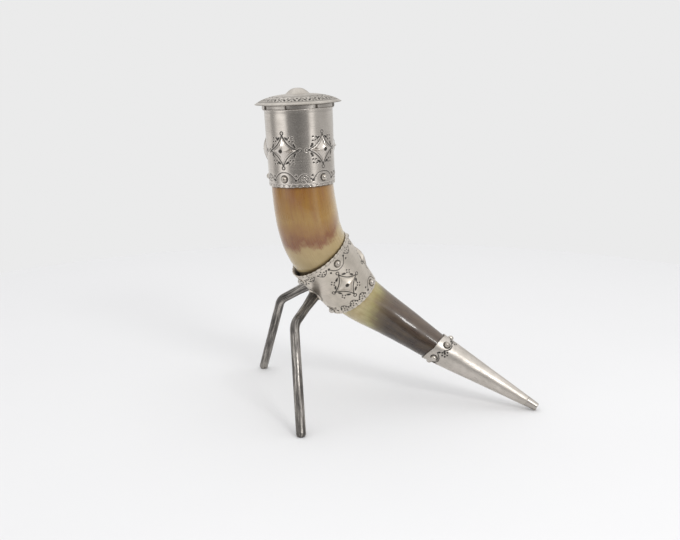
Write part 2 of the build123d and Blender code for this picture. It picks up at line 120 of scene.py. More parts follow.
LEG_RADIUS = 4.15
LEG_ROOT_RADIUS = 5.4
LEG_ROOT_DEPTH = 3.0
LEG_FLARE_LENGTH = 20.0
LEG_KNEE_BEND = 17.0
LEG_END_HEIGHT = 3.7
LEG_END_ROUNDING = 0.85
LEG_PAD_RADIUS = 8.6
LEG_PAD_HEIGHT = 2.4
LEGS = {
    # seat's angle on the band, knee, foot
    "front_leg": (-88.0, np.array([-77.8, -36.1, 81.8]), np.array([-64.4, -85.9, 0.0])),
    "rear_leg": (-140.0, np.array([-103.7, 41.9, 82.8]), np.array([-130.8, 85.9, 0.0])),
}

HORN_MOUTH_SECTIONS = [
    # height above the sleeve's foot, outer radius, hollow radius
    (53.2, 27.8, 23.6),
    (35.0, 27.5, 23.2),
    (17.5, 27.1, 22.8),
    (0.0, 26.8, 22.6),
]
HORN_BEND_SECTIONS = [
    # x, y, z, outer radius, hollow radius
    (-72.6, 0.8, 174.5, 27.2, 22.4),
    (-68.7, 3.9, 154.5, 27.1, 22.0),
    (-60.1, 9.3, 134.5, 26.3, 19.8),
    (-47.0, 16.9, 114.9, 23.6, 14.6),
    (-31.1, 24.6, 95.0, 21.7, 6.5),
    (-12.9, 28.2, 81.2, 19.1, None),
    (6.5, 28.2, 69.2, 16.8, None),
    (23.3, 25.1, 59.3, 15.0, None),
]
HORN_TIP_DEPTH = 84.0
HORN_TIP_SECTIONS = 5
HORN_NECK_RADIUS = 13.2
HORN_TIP_RADIUS = 4.0
HORN_RIM_DEPTH = 0.6
HORN_HOLLOW_ROWS = 60
HORN_RAMP_LENGTH = 340.0
HORN_GRAIN_RADIUS = 24.0

# Marks that are driven into the metal.
DOT_RADIUS = 0.8
RING_RADIUS = 1.35
LINE_WIDTH = 0.7
MARK_DEPTH = 0.3
MARK_EDGE = 0.42

# Plain inner faces of the sheets.
INNER_ROWS = 9
INNER_INK = 0.35

# ---- curves and frames


def smooth(x):
    """Eases from 0 to 1 as x goes from 0 to 1."""
    x = np.clip(x, 0.0, 1.0)
    return x * x * (3.0 - 2.0 * x)


def unit(v):
    """A vector, or each row of several, at length 1."""
    v = np.asarray(v, float)
    return v / np.linalg.norm(v, axis=-1, keepdims=True)


def lengths_along(points):
    """How far along a line each of its points lies."""
    return np.append(0, np.cumsum(np.linalg.norm(np.diff(points, axis=0), axis=1)))


def circles(turn, across, over):
    """Directions round a line, for each of its points, from two crossways directions there."""
    return np.cos(turn)[:, None] * across[:, None] + np.sin(turn)[:, None] * over[:, None]


def evenly(count, whole=2 * pi):
    """Angles spaced evenly round a circle: in radians, or in degrees with a whole of 360."""
    return np.linspace(0.0, whole, count, endpoint=False)


def cubic(xs, ys, at, slopes=None):
    """Smooth curve through the values ys at xs, read at the places at.

    Its ends are straight, or have the two slopes."""
    xs, ys, at = (np.asarray(v, float) for v in (xs, ys, at))
    n, h = len(xs), np.diff(xs)
    table = ys.reshape(n, -1)
    rise = np.diff(table, axis=0) / h[:, None]
    system, right = np.zeros((n, n)), np.zeros_like(table)
    for i in range(1, n - 1):
        system[i, i - 1 : i + 2] = h[i], 2.0 * (h[i - 1] + h[i]), h[i - 1]
        right[i] = 3.0 * (h[i] * rise[i - 1] + h[i - 1] * rise[i])
    if slopes is None:
        system[0, :2] = system[-1, :-3:-1] = 2.0, 1.0
        right[0], right[-1] = 3.0 * rise[0], 3.0 * rise[-1]
    else:
        system[0, 0] = system[-1, -1] = 1.0
        right[0], right[-1] = slopes
    slope = np.linalg.solve(system, right)
    i = np.clip(np.searchsorted(xs, at) - 1, 0, n - 2)
    t = ((at - xs[i]) / h[i])[:, None]
    width = h[i][:, None]
    out = table[i] * (1 + 2 * t) * (1 - t) ** 2 + table[i + 1] * t * t * (3 - 2 * t)
    out += width * (slope[i] * t * (1 - t) ** 2 - slope[i + 1] * t * t * (1 - t))
    return out.reshape(at.shape + ys.shape[1:])


class Turned:
    """A cone standing on its base ring.

    Angles are in degrees, from the side that faces -Y or, where a side is given, from that side."""

    def __init__(self, base, up, length, base_radius, end_radius, side=None):
        self.base, self.up = base, unit(up)
        level = np.cross((0, 0, 1), self.up) if side is None else np.asarray(side, float)
        if side is None and level[1] > 0:
            level = -level
        self.x = unit(level - self.up * (level @ self.up))
        self.y = np.cross(self.up, self.x)
        self.base_radius, self.taper = base_radius, (end_radius - base_radius) / length

    def radius(self, height):
        return self.base_radius + self.taper * np.asarray(height, float)

    def out(self, angle):
        """Level direction away from the axis, for each angle."""
        a = np.radians(np.asarray(angle, float))[..., None]
        return np.cos(a) * self.x + np.sin(a) * self.y

    def point(self, angle, height, lift=0.0):
        """Points at an angle and height, lifted off the cone's surface."""
        height, lift = np.asarray(height, float), np.asarray(lift, float)
        reach = (self.radius(height) + lift)[..., None]
        return self.base + self.up * height[..., None] + self.out(angle) * reach

    def wrap(self, seat, local):
        """Points of a flat pattern with its own x, y and lift, laid round a seat's angle and height."""
        angle, height = seat
        around = angle + np.degrees(local[:, 0] / self.radius(height))
        return self.point(around, height + local[:, 1], local[:, 2])


mouth = Turned(MOUTH_BASE, MOUTH_UP, SLEEVE_LENGTH, SLEEVE_FOOT_RADIUS, SLEEVE_TOP_RADIUS, (1, 0, 0))
lid_axis = Turned(MOUTH_BASE + mouth.up * SLEEVE_LENGTH, MOUTH_UP, LID_LIFT, 0.0, 0.0, (1, 0, 0))
band_up = BAND_TOP - BAND_BOTTOM
band_length = float(np.linalg.norm(band_up))
band = Turned(BAND_BOTTOM, band_up, band_length, BAND_BOTTOM_RADIUS, BAND_TOP_RADIUS)
ferrule_up = FERRULE_TOP - TIP_END
ferrule_length = float(np.linalg.norm(ferrule_up)) - TIP_CAP_LENGTH
ferrule = Turned(FERRULE_TOP, ferrule_up, -ferrule_length, FERRULE_TOP_RADIUS, FERRULE_END_RADIUS)


# ---- meshes


def placed(name, data):
    """New object in the scene."""
    piece = bpy.data.objects.new(name, data)
    bpy.context.scene.collection.objects.link(piece)
    return piece


def mesh_piece(name, points, faces, values):
    """Smooth mesh object from points in millimetres. Values are named numbers or vectors on its points."""
    mesh = bpy.data.meshes.new(name)
    points = np.asarray(points, np.float32) * MM
    sizes = np.array([len(f) for f in faces], np.int32)
    corners = np.concatenate([np.asarray(f, np.int32) for f in faces])
    mesh.vertices.add(len(points))
    mesh.vertices.foreach_set("co", points.ravel())
    mesh.loops.add(len(corners))
    mesh.loops.foreach_set("vertex_index", corners)
    mesh.polygons.add(len(sizes))
    mesh.polygons.foreach_set("loop_start", np.concatenate([[0], np.cumsum(sizes)[:-1]]).astype(np.int32))
    mesh.update(calc_edges=True)
    mesh.validate()
    mesh.polygons.foreach_set("use_smooth", np.ones(len(mesh.polygons), bool))
    for key, value in values.items():
        value = np.asarray(value, np.float32)
        kind, field = ("FLOAT", "value") if value.ndim == 1 else ("FLOAT_VECTOR", "vector")
        mesh.attributes.new(key, kind, "POINT").data.foreach_set(field, value.ravel())
    return placed(name, mesh)


def ring_faces(rows, columns, closed=False):
    """Quads between rows of points that each go once round. Closed joins the last row to the first."""
    i = np.arange(rows if closed else rows - 1)[:, None]
    j = np.arange(columns)[None, :]
    below, above = i * columns, ((i + 1) % rows) * columns
    beside = (j + 1) % columns
    quads = np.stack([below + j, below + beside, above + beside, above + j], -1)
    return list(quads.reshape(-1, 4))


def capped_faces(rows, columns, first=0):
    """Faces of rows of points that two tips follow: the first row's tip, then the last row's."""
    j = np.arange(columns)
    beside = (j + 1) % columns
    last = (rows - 1) * columns
    low_cap = np.stack([beside, j, np.full(columns, rows * columns)], -1)
    top_cap = np.stack([last + j, last + beside, np.full(columns, rows * columns + 1)], -1)
    return [first + face for face in (*ring_faces(rows, columns), *low_cap, *top_cap)]


def grain_places(turn, along, radius):
    """Places on a straight cylinder, which the grain of a bent or tapered piece follows."""
    turn, along = np.broadcast_arrays(turn[None, :], along[:, None])
    return np.stack([radius * np.cos(turn), radius * np.sin(turn), along], -1).reshape(-1, 3)


def finish_piece(piece, body, slot, *nodes):
    piece.data.materials.append(MATERIALS[slot])
    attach(piece, body)
    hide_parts(*nodes)


# ---- chased marks


class Chasing:
    """Marks driven into a turned surface, kept as a depth and a dark patina at each point of a grid."""

    def __init__(self, surface, angles, heights, shift=None):
        self.surface, self.angles, self.heights = surface, angles, heights
        self.depth = np.zeros((len(heights), len(angles)))
        self.ink = np.zeros_like(self.depth)
        self.shift = np.zeros_like(self.depth) if shift is None else shift
        self.slack = np.abs(self.shift).max()

    def mark(self, seat, centre, reach, beyond, depth=MARK_DEPTH, ink=1.0):
        """Presses a shape in near a seat. Beyond(x, y) is how far a place is outside the shape's edge."""
        rows = np.abs(self.heights - seat[1] - centre[1]) < reach + self.slack
        y = self.heights[rows][:, None] + self.shift[rows] - seat[1]
        around = (self.angles - seat[0] + 180.0) % 360.0 - 180.0
        x = np.radians(around)[None, :] * self.surface.radius(seat[1] + centre[1])
        out = beyond(x, y)
        pressed = smooth(0.5 - out / (2 * MARK_EDGE))
        self.depth[rows] = np.maximum(self.depth[rows], depth * pressed)
        self.ink[rows] = np.maximum(self.ink[rows], ink * smooth(0.6 - out / MARK_EDGE))

    def dot(self, seat, x, y, radius=DOT_RADIUS):
        x, y = np.array([x, y]) + rng.normal(0.0, 0.12, 2)
        self.mark(seat, (x, y), radius + 1, lambda u, v: np.hypot(u - x, v - y) - radius, 0.45)

    def dots_round(self, seat, x, y, count, reach, first, radius):
        """Dots in a circle. First is the direction of the first one, in degrees."""
        for k in range(count):
            turn = radians(360.0 / count * k + first)
            self.dot(seat, x + reach * cos(turn), y + reach * sin(turn), radius)

    def ring(self, seat, x, y, radius=RING_RADIUS, width=LINE_WIDTH):
        def beyond(u, v):
            return np.abs(np.hypot(u - x, v - y) - radius) - width / 2

        self.mark(seat, (x, y), radius + 1.5, beyond)

    def line(self, seat, points, width=LINE_WIDTH, ink=1.0):
        """Groove along a line of points."""
        points = np.asarray(points, float)
        middle = points.mean(0)
        reach = np.abs(points[:, 1] - middle[1]).max() + width + 1

        def beyond(u, v):
            nearest = np.full(np.broadcast(u, v).shape, 1e3)
            for a, b in zip(points[:-1], points[1:]):
                run = b - a
                t = np.clip(((u - a[0]) * run[0] + (v - a[1]) * run[1]) / (run @ run), 0, 1)
                nearest = np.minimum(nearest, np.hypot(u - a[0] - t * run[0], v - a[1] - t * run[1]))
            return nearest - width / 2

        self.mark(seat, middle, reach, beyond, ink=ink)

    def arc(self, seat, start, end, bow, width=LINE_WIDTH, fullness=2.0, ink=1.0):
        self.line(seat, bowed(start, end, bow, fullness), width, ink)

    def leaf(self, seat, x, y, turn, length, width, ink=1.0):
        """Tear-shaped punch, pointing along turn, in degrees."""
        c, s = cos(radians(turn)), sin(radians(turn))

        def beyond(u, v):
            along, across = (u - x) * c + (v - y) * s, (v - y) * c - (u - x) * s
            taper = width / 2 * (1.15 - 0.5 * along / length)
            return (np.hypot(along / (length / 2), across / taper) - 1.0) * width / 2

        self.mark(seat, (x, y), length, beyond, 0.4, ink)

    def scallops(self, height, count, depth, below):
        """Row of small half-moons along an edge at a height."""
        step = 360.0 / count
        span = radians(step) * self.surface.radius(height)
        for i in range(count):
            seat = (i * step, height)
            side = -1 if below else 1
            self.arc(seat, (-0.42 * span, 0), (0.42 * span, 0), -side * depth, 0.45, ink=0.3)
            self.leaf(seat, 0.5 * span, side * 0.2 * depth, 90 * side, 1.8, 1.0, ink=0.5)


def bowed(start, end, bow, fullness=2.0, steps=16):
    """Points of an arc from start to end that stands bow to the left of the line between them.

    Fuller arcs have broader tops."""
    start, end = np.asarray(start, float), np.asarray(end, float)
    t = np.linspace(0, 1, steps + 1)[:, None]
    run = end - start
    left = np.array([-run[1], run[0]]) / np.linalg.norm(run)
    return start + run * t + left * bow * (1 - np.abs(2 * t - 1) ** fullness)


def diamond_marks(chasing, seat, size):
    """Bowed outline, a ring at each tip and two leaves on each side."""
    w, h = size[0] + 1.0, size[1] + 1.2
    tips = [(w, 0), (0, h), (-w, 0), (0, -h)]
    for (ax, ay), (bx, by) in zip(tips, tips[1:] + tips[:1]):
        chasing.arc(seat, (ax, ay), (bx, by), 2.2, 0.85)
        chasing.ring(seat, ax * (1 + 1.1 / w), ay * (1 + 1.5 / h))
        sx, sy = np.sign(ax + bx), np.sign(ay + by)
        turn = np.degrees(np.arctan2(sy * h, -sx * w))
        chasing.leaf(seat, sx * 4.0, sy * (h - 3.0), turn + 12 * sx * sy, 4.0, 1.6)
        chasing.leaf(seat, sx * (w - 3.4), sy * 3.7, turn - 12 * sx * sy, 3.8, 1.5)


CORNERS = [(-1, -1), (-1, 1), (1, -1), (1, 1)]


def corner_dots(chasing, seat, places):
    for x, y in places:
        for sx, sy in CORNERS:
            chasing.dot(seat, sx * x, sy * y, 0.72)


def edge_marks(chasing, angle, height, inward, half_span=10.4, peak=5.6):
    """Arc over a nail, with dots at its ends. Inward is 1 or -1: the side away from the edge."""
    seat = (angle, height)
    chasing.ring(seat, 0, 0, NAIL_HEAD_RADIUS + 0.35, 0.75)
    foot = -1.1 * inward
    chasing.arc(seat, (-half_span, foot), (half_span, foot), (peak + 1.1) * inward, 0.7, fullness=2.5)
    for side in (-1, 1):
        chasing.dot(seat, side * half_span, foot, 1.1)
        chasing.dot(seat, side * (half_span + 0.6), foot + 3.7 * inward, 0.9)


def rosette_marks(chasing, angle, height, inward, span=11.0, peak=4.1):
    """Small arc over a rosette of dots, between two nails."""
    seat = (angle, height)
    foot = -0.4 * inward
    chasing.arc(seat, (-span / 2, foot), (span / 2, foot), peak * inward, 0.6, fullness=2.3)
    chasing.dot(seat, -span / 2, foot, 0.8)
    chasing.dot(seat, span / 2, foot, 0.8)
    chasing.dot(seat, 0, 0, 0.6)
    chasing.dots_round(seat, 0, 0, 5, 2.3, 90, 0.66)


def unevenness(angles, heights, size, seed):
    """Slow hand-made waviness of a metal sheet, as a lift at each grid point."""
    draw = np.random.default_rng(seed)
    a, h = np.radians(angles), heights[:, None]
    lift = np.zeros((len(heights), len(angles)))
    for k in range(2, 12):
        phase, slope = draw.uniform(0, 2 * pi), draw.uniform(-0.06, 0.06)
        lift += draw.normal() / k**0.7 * np.cos(k * a + phase + slope * k * h)
    return size * lift / np.abs(lift).max()


def edge_wave(angles, scallops):
    """Small bulges of a sheet's cut edge between its half-moon marks."""
    return np.abs(np.sin(np.radians(angles) * scallops / 2))


def turned_shell(name, surface, angles, heights, lift, shift, wall, ink):
    """Closed shell on a turned surface: a chased outer face and a plain inner one.

    Shift moves the outer face's points along the axis. The two faces meet at the shifted edges."""
    inner = np.linspace(heights[-1], heights[0], INNER_ROWS)
    inner_shift = np.zeros((INNER_ROWS, len(angles)))
    inner_shift[0], inner_shift[-1] = shift[-1], shift[0]
    rows = [surface.point(angles, h + move, out) for h, move, out in zip(heights, shift, lift)]
    rows += [surface.point(angles, h + move, -wall) for h, move in zip(inner, inner_shift)]
    values = {
        "ink": np.append(ink.clip(0, 1), np.full(INNER_ROWS * len(angles), INNER_INK)),
        "grain": grain_places(np.radians(angles), np.append(heights, inner), surface.radius(heights.mean())),
    }
    faces = ring_faces(len(rows), len(angles), closed=True)
    return mesh_piece(name, np.concatenate(rows), faces, values)


# ---- materials


class Nodes:
    """Small helper that adds nodes to one tree and links them by name."""

    def __init__(self, tree):
        self.tree = tree

    def node(self, kind, settings=None, **inputs):
        made = self.tree.nodes.new("ShaderNode" + kind)
        for key, value in (settings or {}).items():
            setattr(made, key, value)
        for key, value in inputs.items():
            self.feed(made.inputs[key.replace("_", " ")], value)
        return made

    def feed(self, socket, value):
        if isinstance(value, bpy.types.NodeSocket):
            self.tree.links.new(value, socket)
        else:
            socket.default_value = value

    def attribute(self, name, output="Fac"):
        return self.node("Attribute", {"attribute_name": name}).outputs[output]

    def scaled(self, vector, scale):
        return self.node("Mapping", Vector=vector, Scale=scale).outputs["Vector"]

    def noise(self, vector, scale=1.0, detail=3.0, roughness=0.55):
        made = self.node("TexNoise", Vector=vector, Scale=scale, Detail=detail, Roughness=roughness)
        return made.outputs["Fac"]

    def fibres(self, place, across, along, detail=3.0, roughness=0.55):
        """Noise with its own scales across and along the grain."""
        return self.noise(self.scaled(place, (across, across, along)), 1.0, detail, roughness)

    def ramp(self, value, stops):
        made = self.node("ValToRGB", Fac=value)
        ramp = made.color_ramp
        while len(ramp.elements) < len(stops):
            ramp.elements.new(0.5)
        for element, (place, colour) in zip(ramp.elements, stops):
            element.position = place
            element.color = (*linear(colour), 1.0) if isinstance(colour, tuple) else (colour,) * 3 + (1.0,)
        return made.outputs["Color"]

    def mix(self, factor, a, b):
        made = self.node("Mix", {"data_type": "RGBA"})
        for socket, value in ((0, factor), (6, a), (7, b)):
            value = (*linear(value), 1.0) if isinstance(value, tuple) else value
            self.feed(made.inputs[socket], value)
        return made.outputs[2]

    def math(self, operation, *values, clamp=False):
        made = self.node("Math", {"operation": operation, "use_clamp": clamp})
        for socket, value in zip(made.inputs, values):
            self.feed(socket, value)
        return made.outputs[0]

    def plus(self, a, b, clamp=False):
        return self.math("ADD", a, b, clamp=clamp)

    def times(self, a, b, clamp=False):
        return self.math("MULTIPLY", a, b, clamp=clamp)

    def remap(self, value, low, high, new_low=0.0, new_high=1.0):
        limits = {"From_Min": low, "From_Max": high, "To_Min": new_low, "To_Max": new_high}
        return self.node("MapRange", Value=value, **limits).outputs["Result"]


class Shader(Nodes):
    """Nodes of one new material, round its Principled surface."""

    def __init__(self, name):
        self.material = bpy.data.materials.new(name)
        self.material.use_nodes = True
        super().__init__(self.material.node_tree)
        self.surface = self.tree.nodes["Principled BSDF"]

    def bump(self, *layers):
        """Stacks bump layers of (height, strength, distance in millimetres)."""
        below = {}
        for height, strength, distance in layers:
            made = self.node("Bump", Height=height, Strength=strength, Distance=distance * MM, **below)
            below = {"Normal": made.outputs["Normal"]}
        self.set(**below)

    def set(self, **inputs):
        for key, value in inputs.items():
            self.feed(self.surface.inputs[key.replace("_", " ")], value)
        return self.material


def linear(colour):
    """Scene colour from ordinary 0 to 255 values."""
    c = np.asarray(colour, float) / 255.0
    return tuple(np.where(c > 0.04045, ((c + 0.055) / 1.055) ** 2.4, c / 12.92))


def satin_metal(name, light, dark, rough, scratch_scales, marked=True):
    """Hand-finished white metal: fine scratches, cloudy tarnish and, on a marked piece, dark patina and
    painted shade.

    The scratches have one scale across the piece's grain and one along it."""
    s = Shader(name)
    across, along = scratch_scales
    if marked:
        place = s.attribute("grain", "Vector")
    else:
        place = s.scaled(s.node("TexCoord").outputs["Object"], (1 / MM,) * 3)
    clouds = s.fibres(place, 0.07, 0.05, 5.0)
    scratches = s.fibres(place, across, along, 2.0, 0.7)
    long_scratches = s.fibres(place, 0.35 * across, 0.35 * along, 2.0)
    pits = s.noise(place, 1.7)
    tone = s.mix(s.remap(clouds, 0.35, 0.68), light, dark)
    tone = s.mix(s.remap(scratches, 0.5, 0.9, 0.0, 0.35), tone, (98, 94, 90))
    roughness = s.remap(scratches, 0.25, 0.8, rough - 0.05, rough + 0.12)
    roughness = s.plus(roughness, s.remap(clouds, 0.3, 0.7, -0.05, 0.06))
    if marked:
        ink = s.attribute("ink")
        # The ink darkens the metal: patina in the chased marks, and painted shade where a piece inks the
        # shade under a lip, a brim or a boss.
        patina_and_painted_shade = s.times(s.remap(pits, 0.3, 0.6, 0.75, 1.0), ink, clamp=True)
        tone = s.mix(patina_and_painted_shade, tone, (26, 24, 22))
        roughness = s.plus(roughness, s.times(ink, 0.3), clamp=True)
        s.set(Metallic=s.remap(patina_and_painted_shade, 0.0, 1.0, 1.0, 0.55))
    else:
        s.set(Metallic=1.0)
    s.bump((scratches, 0.35, 0.05), (long_scratches, 0.3, 0.12), (pits, 0.12, 0.1))
    return s.set(Base_Color=tone, Roughness=roughness)


def leg_material():
    """Dark oxidised rod, with long worn streaks where hands and tools have brightened it."""
    s = Shader("dark_rod_metal")
    place = s.attribute("grain", "Vector")
    streaks = s.fibres(place, 0.55, 0.035, 4.0, 0.6)
    flecks = s.fibres(place, 1.3, 0.25, 3.0, 0.7)
    mottle = s.fibres(place, 0.22, 0.12, 4.0)
    worn = s.times(s.remap(streaks, 0.46, 0.64), s.remap(flecks, 0.32, 0.55, 0.35, 1.0))
    tone = s.mix(s.remap(mottle, 0.35, 0.7), (108, 104, 100), (68, 66, 64))
    tone = s.mix(worn, tone, (186, 180, 173))
    ink = s.attribute("ink")
    tone = s.mix(ink, tone, (30, 29, 28))
    s.bump((streaks, 0.3, 0.25), (flecks, 0.4, 0.12))
    rough = s.plus(s.remap(worn, 0.0, 1.0, 0.42, 0.27), s.times(ink, 0.2))
    return s.set(Base_Color=tone, Roughness=rough, Metallic=0.92)


# Colours along the horn, placed in shares of the ramp's length from the rim.
HORN_COLOURS = [
    (0.150, (146, 100, 40)),
    (0.215, (154, 114, 54)),
    (0.245, (162, 127, 69)),
    (0.278, (150, 110, 63)),
    (0.301, (130, 84, 53)),
    (0.311, (145, 108, 72)),
    (0.323, (176, 153, 109)),
    (0.380, (180, 161, 117)),
    (0.520, (192, 177, 134)),
    (0.556, (156, 147, 99)),
    (0.587, (92, 82, 61)),
    (0.618, (49, 40, 34)),
    (0.760, (38, 28, 24)),
]


def horn_material():
    """Polished horn: streaked amber by the mouth, cream round the bend and nearly black towards the tip."""
    s = Shader("polished_horn")
    place = s.attribute("grain", "Vector")
    zone, side, painted_rim_light = s.attribute("zone"), s.attribute("side"), s.attribute("painted_rim_light")
    fibres = s.fibres(place, 0.24, 0.013, 4.0, 0.6)
    threads = s.fibres(place, 1.6, 0.05, 3.0, 0.6)
    wisps = s.fibres(place, 0.13, 0.03, 4.0)
    blotches = s.fibres(place, 0.12, 0.1, 5.0, 0.6)
    ragged = zone
    for noise, reach in ((fibres, 1.6), (blotches, 3.6), (threads, 0.5)):
        ragged = s.plus(ragged, s.remap(noise, 0.3, 0.7, -reach, reach))
    ground = s.ramp(s.math("DIVIDE", ragged, HORN_RAMP_LENGTH), HORN_COLOURS)
    amber = s.remap(ragged, 78.0, 98.0, 1.0, 0.0)
    cream = s.remap(ragged, 104.0, 116.0)
    dark = s.remap(ragged, 186.0, 206.0)
    streak = s.times(s.remap(fibres, 0.52, 0.66, 0.0, 0.75), s.remap(ragged, 40.0, 84.0, 1.0, 0.1))
    tone = s.mix(streak, ground, (126, 70, 28))
    red = s.times(s.remap(wisps, 0.5, 0.66, 0.0, 0.65), amber)
    tone = s.mix(red, tone, (142, 96, 60))
    honey = s.times(s.remap(wisps, 0.46, 0.32, 0.0, 0.6), amber)
    tone = s.mix(honey, tone, (160, 116, 40))
    cloud = s.times(s.remap(blotches, 0.42, 0.66, 0.0, 0.5), cream)
    tone = s.mix(s.times(cloud, s.remap(dark, 0.0, 1.0, 1.0, 0.2)), tone, (162, 138, 92))
    grey = s.times(s.remap(threads, 0.5, 0.7, 0.0, 0.25), dark)
    tone = s.mix(grey, tone, (116, 98, 82))
    tone = s.mix(s.times(s.times(side, dark), 0.34), tone, (122, 100, 82))
    # Painted light: both sides of the horn near its mouth are lightened, as a glow of light through its
    # edges.
    tone = s.mix(painted_rim_light, tone, (214, 200, 172))
    tone = s.mix(s.attribute("ink"), tone, (58, 44, 32))
    s.bump((threads, 0.12, 0.12), (fibres, 0.1, 0.3), (blotches, 0.12, 0.5))
    rough = s.plus(s.remap(threads, 0.3, 0.7, 0.24, 0.36), s.remap(blotches, 0.3, 0.7, -0.04, 0.06))
    return s.set(Base_Color=tone, Roughness=rough, IOR=1.45, Coat_Weight=0.55, Coat_Roughness=0.07)


MATERIALS = {
    "sleeve_metal": satin_metal("satin_sleeve_metal", (214, 207, 199), (193, 186, 178), 0.2, (0.05, 5.0)),
    "band_metal": satin_metal("satin_band_metal", (226, 217, 205), (198, 190, 178), 0.36, (0.08, 3.0)),
    "lid_metal": satin_metal("stamped_lid_metal", (200, 194, 186), (172, 166, 158), 0.38, (0.35, 3.0)),
    "ferrule_metal": satin_metal("satin_ferrule_metal", (210, 203, 195), (190, 184, 176), 0.4, (0.5, 0.25)),
    "leg_metal": leg_material(),
    "horn": horn_material(),
}
plain_metal = satin_metal("plain_mount_metal", (204, 198, 191), (176, 170, 163), 0.32, (0.4, 2.5), False)
nail_metal = satin_metal("worn_nail_metal", (206, 200, 192), (176, 168, 158), 0.26, (1.2, 1.2), False)


# ---- mouth sleeve

angles = evenly(560, 360.0)
sleeve_step = 360.0 / SLEEVE_REPEATS


def fine_rows(length, fine_until, fine=0.33, coarse=0.9):
    """Heights from 0 to length: close together up to fine_until, then further apart."""
    close = np.linspace(0.0, fine_until, ceil(fine_until / fine) + 1)
    wide = np.linspace(fine_until, length, ceil((length - fine_until) / coarse) + 1)[1:]
    return np.concatenate([close, wide])


def sleeve():
    heights = fine_rows(SLEEVE_LENGTH, SLEEVE_CHASED_HEIGHT)
    chasing = Chasing(mouth, angles, heights)
    for k in range(SLEEVE_REPEATS):
        angle = SLEEVE_FIRST_ANGLE + k * sleeve_step
        seat = (angle, SLEEVE_DIAMOND_HEIGHT)
        diamond_marks(chasing, seat, SLEEVE_DIAMOND)
        corner_dots(chasing, seat, [(6.2, 10.8), (9.4, 10.8), (6.9, 7.9), (9.8, 7.9), (10.2, 5.2)])
        edge_marks(chasing, angle, SLEEVE_NAIL_HEIGHT, 1)
        rosette_marks(chasing, angle + sleeve_step / 2, SLEEVE_NAIL_HEIGHT, 1)
    chasing.scallops(1.9, SLEEVE_SCALLOPS, 1.0, below=True)
    above_lip = heights - (SLEEVE_LENGTH - SLEEVE_LIP)
    groove = np.exp(-((above_lip / 0.8) ** 2))[:, None]
    # Painted shadow: a dark line is inked along the foot of the lip, 3.2 mm below the top edge, as the shade
    # under the flared lip.
    lip_shadow_paint = np.exp(-(((above_lip - 0.3) / 0.5) ** 2))[:, None]
    lift = unevenness(angles, heights, 0.09, 3) - chasing.depth - 0.12 * groove
    shift = np.zeros_like(lift)
    shift[:2] = np.outer((0.45, 0.225), edge_wave(angles, SLEEVE_SCALLOPS))
    # The sleeve's ink: patina in its chased marks, plus the painted shadow line under the lip.
    ink = chasing.ink + 0.35 * lip_shadow_paint
    piece = turned_shell("sleeve_shell", mouth, angles, heights, lift, shift, SHEET, ink)
    finish_piece(piece, "horn", "sleeve_metal", "mouth_sleeve")


# ---- pressed bosses


def bowed_reach(turn, half_width, half_height):
    """Distance from a boss's centre to its bowed outline, in each direction."""
    x, y = np.abs(np.cos(turn)) / half_width, np.abs(np.sin(turn)) / half_height
    return (x**DIAMOND_BOW + y**DIAMOND_BOW) ** (-1.0 / DIAMOND_BOW)


def boss(name, surface, seats, size, slot, node):
    """Pillow-shaped pyramids with a dark pit at the top, wrapped onto a turned surface."""
    half_width, half_height, relief = size
    spokes, rings = 120, 34
    turn = evenly(spokes)
    reach = bowed_reach(turn, half_width, half_height)
    points, faces, ink, grain = [], [], [], []
    for seat in seats:
        rows, marks = [], []
        for t in np.linspace(1.0, 0.0, rings + 1)[:-1]:
            away = reach * t
            height = relief * (0.45 * (1 - t) + 0.55 * (1 - t * t))
            pit = DIAMOND_PIT_DEPTH * smooth((DIAMOND_PIT_RADIUS - away) / 0.7)
            rows.append(np.stack([away * np.cos(turn), away * np.sin(turn), height - pit], -1))
            marks.append(smooth((DIAMOND_PIT_RADIUS + 0.15 - away) / 0.6) + 0.5 * smooth((t - 0.93) / 0.07))
        under = rows[0] * (1, 1, 0) - (0, 0, HIDDEN_DEPTH)
        tips = [[0, 0, -HIDDEN_DEPTH], [0, 0, relief - DIAMOND_TIP_DEPTH]]
        local = np.concatenate([under, *rows, tips])
        faces += capped_faces(rings + 1, spokes, sum(len(p) for p in points))
        points.append(surface.wrap(seat, local))
        ink += [np.ones(spokes), *marks, [1.0, 1.0]]
        grain.append(local + np.array([seat[0], 0, 0]))
    values = {"ink": np.concatenate(ink).clip(0, 1), "grain": np.concatenate(grain)}
    piece = mesh_piece(name, np.concatenate(points), faces, values)
    finish_piece(piece, "horn", slot, node)


# ---- middle band


